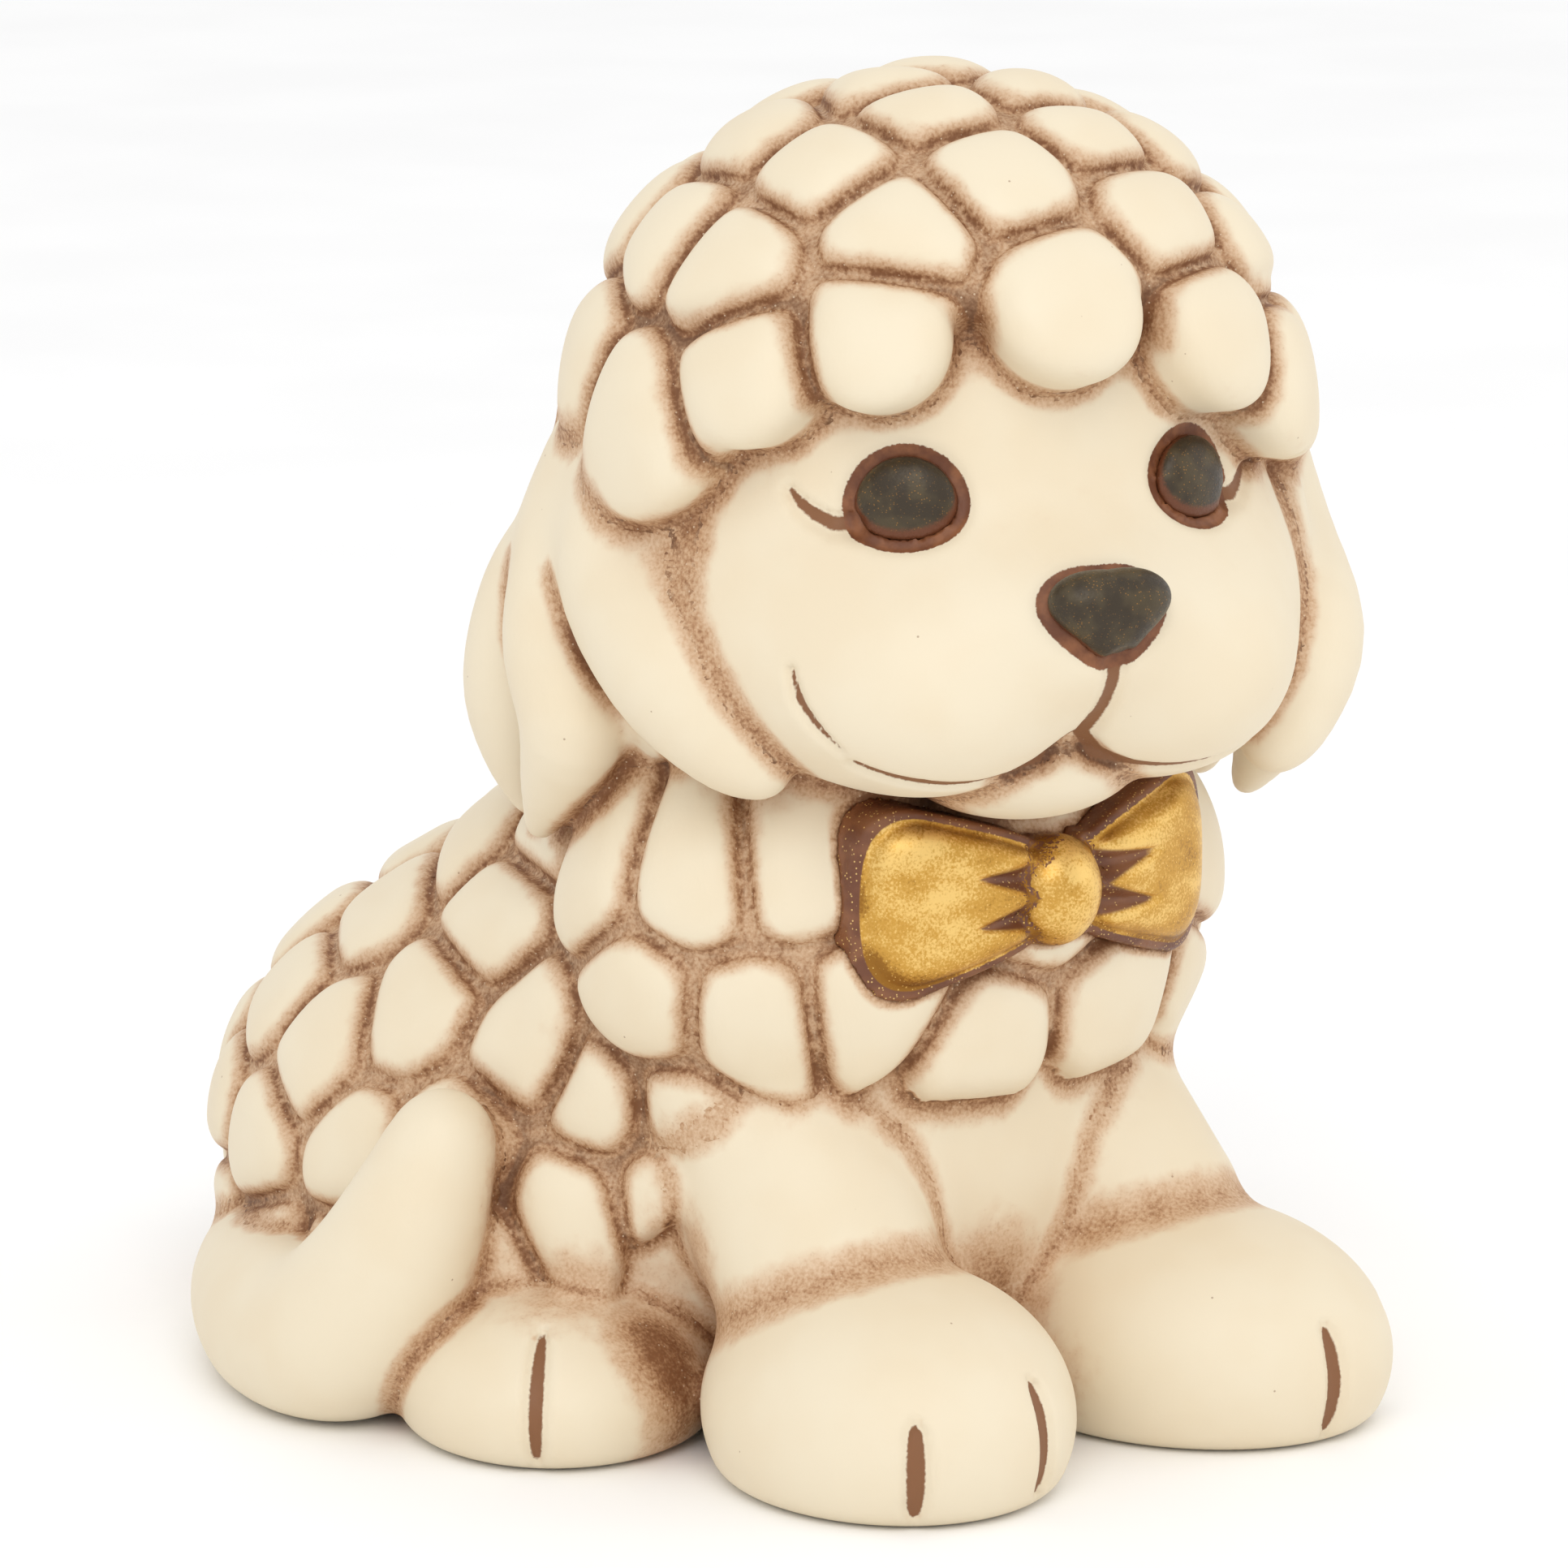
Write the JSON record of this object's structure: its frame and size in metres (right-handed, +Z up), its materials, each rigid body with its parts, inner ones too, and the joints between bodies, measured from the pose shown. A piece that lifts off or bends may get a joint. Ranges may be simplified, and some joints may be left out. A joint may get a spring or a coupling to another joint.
{
  "type": "ceramic dog figurine",
  "caption": "Small sitting poodle figurine in washed matte ceramic with a curled topknot, drooping ears, a curled tail and a bow tie.",
  "frame": {"origin": "middle of the footprint's bounding box, on the surface that the figure stands on", "axes": "+Z up, -Y the way the chest faces, +X the dog's left side; metres"},
  "size_m": [0.066, 0.079, 0.0804],
  "materials": {
    "washed_bisque": "matte cream bisque, brown wash rubbed into the creases",
    "gold_lustre": "satin antique gold paint",
    "bronze_lustre": "satin dark bronze paint with fine mica"
  },
  "bodies": {
    "root": {"torso_shell": "washed_bisque", "head_shell": "washed_bisque", "topknot": "washed_bisque", "chin": "washed_bisque", "ear_right": "washed_bisque", "ear_left": "washed_bisque", "foreleg_right": "washed_bisque", "foreleg_left": "washed_bisque", "hind_foot_right": "washed_bisque", "hind_foot_left": "washed_bisque", "tail": "washed_bisque", "eye_right": "bronze_lustre", "eye_left": "bronze_lustre", "nose": "bronze_lustre", "bow_loop_right": "gold_lustre", "bow_loop_left": "gold_lustre", "bow_knot": "gold_lustre"}
  },
  "joints": []
}
